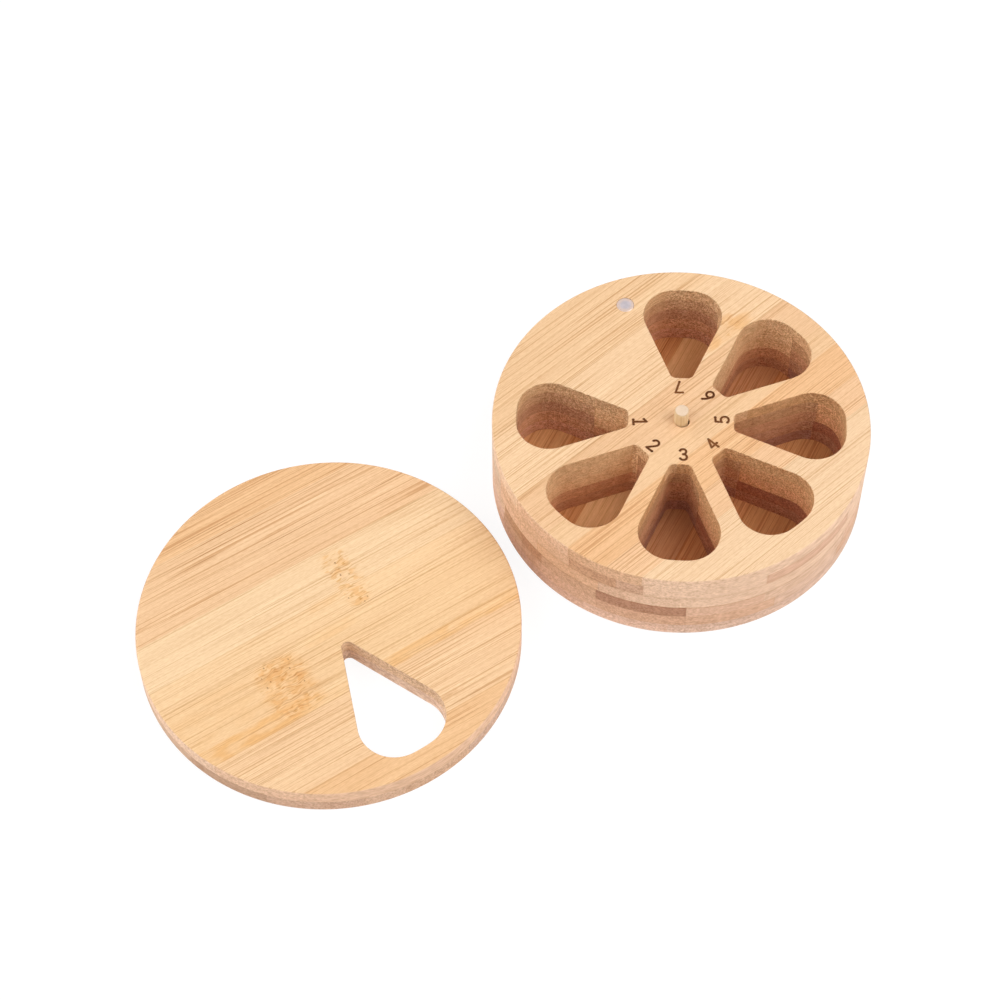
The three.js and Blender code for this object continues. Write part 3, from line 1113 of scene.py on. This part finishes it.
def bamboo_material(ply, centre, bottom):
    """The bamboo of one ply, with the fibres along its own grain."""
    look = bpy.context.scene.pill_box_bamboo
    material, w, shader = principled(ply.name + "_bamboo", {"Specular IOR Level": BAMBOO_GLOSS})
    grain = math.radians(ply.grain)
    coordinates = w.add("ShaderNodeTexCoord").outputs
    turned = w.add("ShaderNodeVectorRotate", {
        "Vector": w.vector("SUBTRACT", coordinates["Object"], (*centre, bottom)), "Angle": -grain,
    }, rotation_type="Z_AXIS")
    place = w.in_mm(turned.outputs[0])
    parts = w.parts(place)
    shift = Vector(PLY_SHIFT) * ply.level
    if ply in LID:
        shift += Vector(LID_SHIFT)
    own = w.vector("ADD", place, shift)

    normal = coordinates["Normal"]
    sideways = w.fade_out(w.math("ABSOLUTE", w.parts(normal)["Z"]), *FACE_LIMITS)
    grain_way = (math.cos(grain), math.sin(grain), 0.0)
    end_grain = w.math("ABSOLUTE", w.vector("DOT_PRODUCT", normal, grain_way))

    stray = w.wander(w.fibres(own, along=0.05, across=0.45, up=0.0, detail=2.0), PATCH_STRAY)
    knot, warmth = 0.0, 0.0
    for patch in ply.patches:
        inside = inside_patch(w, parts, stray, patch)
        knot = w.math("MAXIMUM", knot, w.times(inside, patch.knot))
        warmth = w.math("MAXIMUM", warmth, w.times(inside, patch.warmth))

    # Glue shows between the strips of a ply, and on the rim between two plies
    cavity = w.fade_out(w.from_axis(place), *RIM_LIMITS)
    on_rim = w.times(w.math("SUBTRACT", 1.0, cavity), sideways)
    glue = 0.0
    for start, *_ in ply.face[1:] if len(ply.face) > 1 else ply.side[1:]:
        line = w.fade_out(w.distance(parts["Y"], start), *STRIP_GLUE)
        glue = w.math("MAXIMUM", glue, line)
    for level in ply.seams:
        line = w.fade_out(w.distance(parts["Z"], level), *PLY_GLUE)
        glue = w.math("MAXIMUM", glue, w.times(line, on_rim))

    face, face_lines = strip_ramp(w, parts["Y"], ply.face)
    side, side_lines = strip_ramp(w, parts["Y"], ply.side)
    if ply.inner:
        inner, inner_lines = strip_ramp(w, parts["Y"], ply.inner)
        side = w.mix(cavity, side, inner)
        side_lines = w.math("MAXIMUM", side_lines, w.times(inner_lines, cavity))
    group = bpy.data.node_groups.get("Bamboo") or bamboo_group()
    bamboo = w.add("ShaderNodeGroup", node_tree=group)
    for name, value in {
        "Place": own, "Face": face, "Face lines": face_lines, "Side": side,
        "Side lines": side_lines, "Knot": knot, "Warmth": warmth, "Sideways": sideways,
        "End grain": end_grain, "Glue": glue, "Cavity": w.times(cavity, ply.singe),
    }.items():
        w.put(bamboo.inputs[name], value)
    shown = bamboo.outputs["Colour"]
    if ply is BASE[-1]:
        scorch = w.math("POWER", w.layer("scorch"), SCORCH_EXPONENT)
        heat = w.times(scorch, w.times(w.layer("burn"), SCORCH_SHARE))
        shown = w.mix(heat, shown, bpy.context.scene.pill_box_numbers.toast)
    finish_shader(
        w, shader, shown, bamboo.outputs["Roughness"], bamboo.outputs["Height"], look.depth
    )
    return material


def burnt_material():
    """The charred bottom of the numbers."""
    sizes = bpy.context.scene.pill_box_numbers
    material, w, shader = principled("burnt_bamboo", {"Specular IOR Level": CHAR_GLOSS})
    place = w.in_mm(w.add("ShaderNodeTexCoord").outputs["Object"])
    patch = w.noise(place, scale=2.2, detail=3.0, rough=0.6)
    deep = w.times(w.layer("burn"), w.fade(patch, 0.25, 0.65, 0.55, 1.0))
    shown = w.mix(deep, sizes.toast, sizes.char)
    shown = w.mix(w.fade(w.noise(place, scale=9.0), 0.55, 0.75), shown, SOOT)
    roughness = w.fade(patch, 0.3, 0.7, 0.7, 0.9)
    finish_shader(w, shader, shown, roughness, w.noise(place, scale=12.0), *CHAR_RELIEF)
    return material


def pin_material():
    """Pale dowel wood: fibres up the pin, their ends on its worn top."""
    sizes = bpy.context.scene.pill_box_pin
    material, w, shader = principled("pin_dowel")
    coordinates = w.add("ShaderNodeTexCoord").outputs
    place = w.in_mm(coordinates["Object"])
    fibre = w.fibres(place, along=3.2, across=3.2, up=0.16, detail=3.0)
    dot = w.fade_out(w.cells(w.drawn(place, along=2.4, across=2.4, up=0.08)), 0.10, 0.34)
    upward = w.parts(coordinates["Normal"])["Z"]
    top = w.fade(upward, 0.4, 0.9)
    # Darker and yellower just above the face of the box, round the foot of the pin
    foot_tone = w.times(w.fade_out(w.parts(place)["Z"], *FOOT_TONE_LIMITS), PIN_MARKS["foot_tone"])
    shoulder = w.times(w.fade(upward, 0.1, 0.5), w.fade_out(upward, 0.6, 0.95))
    wear = w.times(shoulder, w.fade(w.noise(place, scale=1.4), 0.4, 0.6, 0.1, 0.5))
    streak = w.math("MAXIMUM", w.fade(fibre, 0.40, 0.70), w.times(dot, PIN_MARKS["dot"]))
    shown = w.mix(w.times(streak, PIN_MARKS["fibre"]), sizes.wood, sizes.fibre)
    shown = w.mix(w.times(dot, top, PIN_MARKS["ends"]), shown, sizes.ends)
    shown = w.mix(wear, shown, sizes.worn)
    shown = w.mix(foot_tone, shown, sizes.foot_tone)
    shown = w.mix(w.times(top, PIN_MARKS["top"]), shown, sizes.top)
    rise = w.total(w.times(fibre, PIN_RELIEF), w.times(dot, -PIN_RELIEF))
    finish_shader(w, shader, shown, w.fade(fibre, 0.2, 0.8, 0.52, 0.72), rise, PIN_DEPTH)
    return material


def magnet_material(name, x, y):
    """Nickel plating with fine scratches, warmer towards its edge."""
    sizes = bpy.context.scene.pill_box_magnets
    material, w, shader = principled(name, {"Metallic": 1.0})
    place = w.in_mm(w.add("ShaderNodeTexCoord").outputs["Object"])
    brushed = w.fibres(place, along=9.0, across=0.6, up=9.0, detail=2.0)
    cloud = w.noise(place, scale=0.9)
    shown = w.mix(w.fade(cloud, 0.3, 0.7), sizes.plating, sizes.cloud)
    middle = w.from_axis(w.vector("SUBTRACT", place, (x * MM_PER_M, y * MM_PER_M, 0)))
    # Warmer towards the edge of the magnet
    edge = w.fade(w.total(middle, w.times(cloud, EDGE_TONE_STRAY)), *EDGE_TONE_LIMITS)
    shown = w.mix(w.times(edge, EDGE_TONE_SHARE), shown, sizes.edge_tone)
    roughness = w.fade(w.total(brushed, cloud), 0.6, 1.4, 0.24, 0.42)
    finish_shader(w, shader, shown, roughness, brushed, *BRUSH_RELIEF)
    return material


# The pieces


# Which way the worn hole lies to the side of the pin
LEAN_WAY = (0.75, -0.65)
# The pin: the small bevel at its foot, its rings along its length and over its rounded end, how
# far in the flat of its top begins, as a share of its radius, and how much its top is worn
PIN_FOOT = 0.0001
PIN_RINGS, PIN_END_RINGS = 8, 6
PIN_FLAT_SHARE = 0.4
PIN_WEAR = 0.00006
# The flat ring beside the rounded edge of a magnet
MAGNET_RING = 0.0002
MAGNET_STEPS = 4


def lid_centre():
    boards = bpy.context.scene.pill_box_boards
    distance = 2 * boards.radius + boards.lid_gap
    return distance * math.cos(boards.lid_bearing), distance * math.sin(boards.lid_bearing)


def magnet_place(sector):
    """Where a magnet lies, on the border before this sector."""
    boards, magnets = bpy.context.scene.pill_box_boards, bpy.context.scene.pill_box_magnets
    reach, turn = boards.radius - magnets.inset, sector * SECTOR - HALF_SECTOR
    return reach * math.cos(turn), reach * math.sin(turn)


class PILLBOX_OT_base_boards(bpy.types.Operator):
    """Makes the six plies of the box, with its pockets, pin hole, magnet recess and numbers"""

    bl_idname = "pill_box.base_boards"
    bl_label = "Box Boards"

    def execute(self, context):
        boards, pockets = context.scene.pill_box_boards, context.scene.pill_box_pockets
        pin, magnets = context.scene.pill_box_pin, context.scene.pill_box_magnets
        drop = teardrop(
            pockets.rib / 2, pockets.hub, boards.radius - pockets.rim, pockets.outer_fillet,
            pockets.inner_fillet,
        )
        drops = [
            drop.turned(sector * SECTOR).wavering(boards.waver, sector)
            for sector in range(SECTORS) if sector != BLANK_SECTOR
        ]
        edges = {0: boards.edge, LOWER_PLIES: boards.joint, BASE_PLIES: boards.edge}
        burnt = burnt_material()
        for ply in BASE:
            bottom, top = ply.level * boards.ply, (ply.level + 1) * boards.ply
            low, high = (edges.get(ply.level + up, boards.seam) for up in (0, 1))
            last = ply.level == BASE_PLIES - 1
            cuts = [Cut(rim_outline(boards.radius), low, high)]
            if ply.level > 0:
                mouth = boards.mouth if last else boards.seam
                cuts += [Cut(outline, boards.seam, mouth) for outline in drops]
            if ply.level >= LOWER_PLIES:
                lean = [pin.lean * way for way in LEAN_WAY]
                hole = round_hole(pin.radius + pin.clearance, *lean)
                cuts.append(Cut(hole, boards.seam, boards.seam))
            if last:
                x, y = magnet_place(BLANK_SECTOR)
                recess = round_hole(magnets.radius + magnets.clearance, x, y)
                cuts.append(Cut(recess, 0.0, boards.seam, floor=top - magnets.height))
            mesh = ply_mesh(ply.name, cuts, bottom, top, numbered=last)
            bamboo = bamboo_material(ply, (0.0, 0.0), bottom)
            slot = "face_bamboo" if last else "core_bamboo"
            piece(mesh, "box", ply.node, slot, bamboo, *([burnt] if last else []))
        return {"FINISHED"}


class PILLBOX_OT_lid_boards(bpy.types.Operator):
    """Makes the two plies of the lid, with its window, pin socket and magnet recess"""

    bl_idname = "pill_box.lid_boards"
    bl_label = "Lid Boards"

    def execute(self, context):
        boards, pockets = context.scene.pill_box_boards, context.scene.pill_box_pockets
        pin, magnets = context.scene.pill_box_pin, context.scene.pill_box_magnets
        x, y = lid_centre()
        margin = pockets.window_margin
        window = teardrop(
            pockets.rib / 2 - margin, pockets.window_hub, boards.radius - pockets.rim + margin,
            pockets.outer_fillet + margin, pockets.inner_fillet + margin,
        ).wavering(boards.waver, WINDOW_SEED)
        rim = rim_outline(boards.radius)
        socket = round_hole(pin.radius + pin.clearance)
        recess = round_hole(magnets.radius + magnets.clearance, *magnet_place(0))
        for ply in LID:
            bottom, top = ply.level * boards.ply, (ply.level + 1) * boards.ply
            under = ply.level == 0
            cuts = []
            for outline, edge in ((rim, boards.edge), (window, boards.mouth)):
                low, high = (edge, boards.seam) if under else (boards.seam, edge)
                cuts.append(Cut(outline, low, high))
            if under:
                cuts.append(Cut(socket, boards.seam, boards.seam))
                cuts.append(Cut(recess, boards.seam, 0.0, ceiling=magnets.height))
            else:
                cuts.append(Cut(socket, boards.seam, 0.0, ceiling=pin.height + pin.socket_gap))
            cuts = [cut._replace(outline=cut.outline.turned(LID_TURN, x, y)) for cut in cuts]
            mesh = ply_mesh(ply.name, cuts, bottom, top)
            bamboo = bamboo_material(ply, (x, y), bottom)
            piece(mesh, "lid", ply.node, "core_bamboo" if under else "face_bamboo", bamboo)
        return {"FINISHED"}


class PILLBOX_OT_pin(bpy.types.Operator):
    """Makes the wooden pin that the lid turns on"""

    bl_idname = "pill_box.pin"
    bl_label = "Pin"

    def execute(self, context):
        boards, pin = context.scene.pill_box_boards, context.scene.pill_box_pin
        bottom = LOWER_PLIES * boards.ply
        top = BASE_PLIES * boards.ply + pin.height
        shaft = top - pin.rounding - bottom
        profile = [(pin.radius - PIN_FOOT, bottom), (pin.radius, bottom + PIN_FOOT)]
        for ring in range(1, PIN_RINGS + 1):
            profile.append((pin.radius, bottom + shaft * ring / PIN_RINGS))
        for inset, drop in reversed(rounding(pin.rounding, PIN_END_RINGS)[:-1]):
            profile.append((pin.radius - inset, top - drop))
        profile.append((pin.radius * PIN_FLAT_SHARE, top))
        mesh = lathe_mesh("pin", profile, 0.0, 0.0, worn=PIN_WEAR)
        piece(mesh, "box", "pivot_pin", "pin_wood", pin_material())
        return {"FINISHED"}


class PILLBOX_OT_magnets(bpy.types.Operator):
    """Makes the two magnets, flush in the face of the box and in the underside of the lid"""

    bl_idname = "pill_box.magnets"
    bl_label = "Magnets"

    def execute(self, context):
        boards, magnets = context.scene.pill_box_boards, context.scene.pill_box_magnets
        base_x, base_y = magnet_place(BLANK_SECTOR)
        near_x, near_y = magnet_place(0)
        centre = Matrix.Translation((*lid_centre(), 0.0)) @ Matrix.Rotation(LID_TURN, 4, "Z")
        lid_x, lid_y, _ = centre @ Vector((near_x, near_y, 0.0))
        recess = BASE_PLIES * boards.ply - magnets.height
        for name, node, body, x, y, bottom in (
            ("magnet_in_box", "base_magnet", "box", base_x, base_y, recess),
            ("magnet_in_lid", "lid_magnet", "lid", lid_x, lid_y, 0.0),
        ):
            top = bottom + magnets.height
            edge = [(magnets.bevel + MAGNET_RING, 0.0), *rounding(magnets.bevel, MAGNET_STEPS)]
            profile = [(magnets.radius - inset, bottom + drop) for inset, drop in edge]
            profile += [(magnets.radius - inset, top - drop) for inset, drop in reversed(edge)]
            nickel = magnet_material(name + "_nickel", x, y)
            piece(lathe_mesh(name, profile, x, y), body, node, "magnet_plating", nickel)
        return {"FINISHED"}


# The lamps: the setting that holds the power of each, its place and its side, in metres
LAMPS = (
    ("right", (0.708, -0.230, 1.106), 1.2),
    ("left", (-0.887, -0.623, 0.868), 1.2),
    ("back", (-1.100, 0.582, 0.571), 1.2),
    ("corner", (0.500, 0.905, 0.800), 1.2),
    ("low", (1.061, -0.666, 0.270), 0.5),
)
LAMP_AIM = (-0.04, -0.03, 0.0)
# The camera: its place, and how far it is turned about Z, then tipped about X, then rolled
CAMERA_PLACE = (-0.02549, -0.41797, 0.6186)
CAMERA_TURN, CAMERA_TIP, CAMERA_ROLL = 3.43, 33.39, -0.60
SENSOR_WIDTH = 36.0
WHITE = (1, 1, 1)


class PILLBOX_OT_stage(bpy.types.Operator):
    """Makes the white floor and background, the lamps and the camera"""

    bl_idname = "pill_box.stage"
    bl_label = "Stage"

    def execute(self, context):
        scene, setting = context.scene, context.scene.pill_box_stage
        scene.view_settings.view_transform = "Standard"
        self.floor(setting)
        self.background(scene, setting)
        for name, place, side in LAMPS:
            self.lamp(name + "_lamp", getattr(setting, name), place, side)
        self.camera(scene, setting)
        return {"FINISHED"}

    def floor(self, setting):
        half = setting.floor / 2
        mesh = bpy.data.meshes.new("floor")
        corners = [(-half, -half, 0), (half, -half, 0), (half, half, 0), (-half, half, 0)]
        mesh.from_pydata(corners, [], [(0, 1, 2, 3)])
        floor = bpy.data.objects.new("floor", mesh)
        bpy.context.scene.collection.objects.link(floor)
        material = bpy.data.materials.new("floor_white")
        w = cleared(material)
        paint_only = w.add("ShaderNodeBsdfDiffuse", {"Color": setting.floor_paint})
        bounce = w.add("ShaderNodeEmission", {"Color": WHITE, "Strength": setting.bounce})
        lit = w.add("ShaderNodeAddShader", {0: paint_only.outputs[0], 1: bounce.outputs[0]})
        washed = w.add("ShaderNodeBsdfDiffuse", {"Color": (setting.wash,) * 3})
        glow = w.add("ShaderNodeEmission", {"Color": WHITE, "Strength": setting.glow})
        seen = w.add("ShaderNodeAddShader", {0: washed.outputs[0], 1: glow.outputs[0]})
        shaders = {0: w.direct_view(), 1: lit.outputs[0], 2: seen.outputs[0]}
        surface = w.add("ShaderNodeMixShader", shaders)
        w.add("ShaderNodeOutputMaterial", {"Surface": surface.outputs[0]})
        mesh.materials.append(material)

    def background(self, scene, setting):
        scene.world = bpy.data.worlds.new("studio")
        w = cleared(scene.world)
        strength = w.total(w.times(w.direct_view(), 1.0 - setting.sky), setting.sky)
        shade = w.add("ShaderNodeBackground", {"Color": WHITE, "Strength": strength})
        w.add("ShaderNodeOutputWorld", {"Surface": shade.outputs[0]})

    def lamp(self, name, power, place, side):
        light = bpy.data.lights.new(name, "AREA")
        light.energy, light.size = power, side
        lamp = bpy.data.objects.new(name, light)
        lamp.location = place
        aim = Vector(LAMP_AIM) - Vector(place)
        lamp.rotation_euler = aim.to_track_quat("-Z", "Y").to_euler()
        bpy.context.scene.collection.objects.link(lamp)

    def camera(self, scene, setting):
        data = bpy.data.cameras.new("camera")
        data.lens, data.sensor_width = setting.lens, SENSOR_WIDTH
        camera = bpy.data.objects.new("camera", data)
        scene.collection.objects.link(camera)
        place = Matrix.Translation(CAMERA_PLACE)
        for degrees, axis in ((CAMERA_TURN, "Z"), (CAMERA_TIP, "X"), (CAMERA_ROLL, "Z")):
            place = place @ Matrix.Rotation(math.radians(degrees), 4, axis)
        camera.matrix_world = place
        scene.camera = camera


OPERATORS = (
    PILLBOX_OT_stage,
    PILLBOX_OT_base_boards,
    PILLBOX_OT_lid_boards,
    PILLBOX_OT_pin,
    PILLBOX_OT_magnets,
)


class PILLBOX_PT_panel(bpy.types.Panel):
    """Lists the pieces of the pill box and their sizes"""

    bl_idname = "PILLBOX_PT_panel"
    bl_label = "Pill Box"
    bl_space_type = "VIEW_3D"
    bl_region_type = "UI"
    bl_category = "Pill Box"

    def draw(self, context):
        layout = self.layout
        for operator in OPERATORS:
            layout.operator(operator.bl_idname)
        for name, group in SETTINGS.items():
            box = layout.box()
            box.label(text=name.replace("pill_box_", "").capitalize())
            for key in group.__annotations__:
                box.prop(getattr(context.scene, name), key)


CLASSES = (*SETTINGS.values(), *OPERATORS, PILLBOX_PT_panel)


def register():
    for cls in CLASSES:
        bpy.utils.register_class(cls)
    for name, group in SETTINGS.items():
        setattr(bpy.types.Scene, name, PointerProperty(type=group))


def unregister():
    for name in SETTINGS:
        delattr(bpy.types.Scene, name)
    for cls in reversed(CLASSES):
        bpy.utils.unregister_class(cls)


def main():
    register()
    bpy.ops.pill_box.stage()
    bpy.ops.pill_box.base_boards()
    bpy.ops.pill_box.lid_boards()
    bpy.ops.pill_box.pin()
    bpy.ops.pill_box.magnets()


if __name__ == "__main__":
    main()
